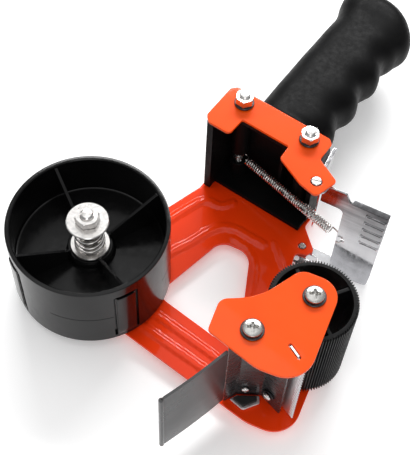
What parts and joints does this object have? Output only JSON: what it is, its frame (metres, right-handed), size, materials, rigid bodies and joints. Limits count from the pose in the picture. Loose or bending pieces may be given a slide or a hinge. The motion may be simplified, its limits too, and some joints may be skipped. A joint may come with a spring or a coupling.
{
  "type": "tape dispenser",
  "caption": "Hand-held packing-tape dispenser: orange stamped frame, black core drum with a drag brake, toothed roller, cutter with wiper, sprung flap and grip handle.",
  "frame": {"origin": "on the tape drum's axis, level with the undersides of the bolt heads below the side frame", "axes": "+Z along the drum, roller and flap axes, away from the side frame; +X from the drum's axis to the roller's axis; +Y towards the handle"},
  "size_m": [0.1667, 0.2709, 0.0705],
  "materials": {
    "orange_paint": "glossy orange-red baked enamel",
    "black_gloss": "gloss black moulded plastic",
    "black_moulding": "semi-gloss black moulded plastic",
    "black_matt": "fine matt black moulded plastic",
    "black_sheet": "satin black sheet",
    "black_rubber": "dull black rubber",
    "chrome": "bright plated sheet",
    "zinc_plate": "bright zinc plate",
    "bright_steel": "bright drawn steel",
    "dark_steel": "dark blackened steel"
  },
  "bodies": {
    "frame": {"axle_screw_low": "zinc_plate", "axle_screw_top": "zinc_plate", "axle_washer_top": "dark_steel", "blade": "bright_steel", "blade_holder": "black_sheet", "clamp_foot": "zinc_plate", "clamp_pad": "black_rubber", "clamp_screw_1": "zinc_plate", "clamp_screw_2": "zinc_plate", "clamp_washer": "dark_steel", "extension_spring": "bright_steel", "flap_pin_low": "zinc_plate", "flap_pin_top": "zinc_plate", "front_plate": "orange_paint", "handle": "black_matt", "handle_bolt_1": "zinc_plate", "handle_bolt_2": "zinc_plate", "handle_bracket": "orange_paint", "handle_nut_1": "zinc_plate", "handle_nut_2": "zinc_plate", "handle_washer_1": "dark_steel", "handle_washer_2": "dark_steel", "post_screw_low": "zinc_plate", "post_screw_top": "zinc_plate", "post_washer_top": "dark_steel", "roller_axle": "zinc_plate", "side_frame": "orange_paint", "spacer_post": "zinc_plate", "spindle_bolt": "zinc_plate", "spindle_washer_low": "zinc_plate", "tension_spring": "bright_steel"},
    "drum": {"core_drum": "black_gloss"},
    "roller": {"roller": "black_moulding"},
    "flap": {"tape_flap": "chrome"},
    "drag_washer": {"spindle_washer_top": "zinc_plate"},
    "brake_nut": {"spindle_nut": "zinc_plate"},
    "wiper_blade": {"wiper": "black_sheet"}
  },
  "joints": [
    {"name": "drum_spin", "type": "hinge", "parent": "frame", "child": "drum", "pos_m": [0, 0, 0.03], "axis": [0, 0, 1], "continuous": true},
    {"name": "roller_spin", "type": "hinge", "parent": "frame", "child": "roller", "pos_m": [0.1087, 0, 0.034], "axis": [0, 0, 1], "continuous": true},
    {"name": "flap_swing", "type": "hinge", "parent": "frame", "child": "flap", "pos_m": [0.0891, 0.057, 0.032], "axis": [0, 0, 1], "range_deg": [-65, 0], "stiffness_Nm_per_rad": 0.03, "springref_deg": 28.65, "deforming": ["extension_spring"]},
    {"name": "brake_travel", "type": "slide", "parent": "frame", "child": "drag_washer", "axis": [0, 0, 1], "range_m": [-0.003, 0.0005], "deforming": ["tension_spring"]},
    {"name": "brake_nut_turn", "type": "hinge", "parent": "drag_washer", "child": "brake_nut", "pos_m": [0, 0, 0.0565], "axis": [0, 0, 1], "range_deg": [-1080, 180]},
    {"name": "wiper_flex", "type": "hinge", "parent": "frame", "child": "wiper_blade", "pos_m": [0.084, -0.037, 0.0345], "axis": [0, 0, 1], "range_deg": [-15, 15], "stiffness_Nm_per_rad": 0.05}
  ],
  "couplings": [
    {"joint": "brake_nut_turn", "follows": "brake_travel", "rad_per_m": 6283}
  ]
}
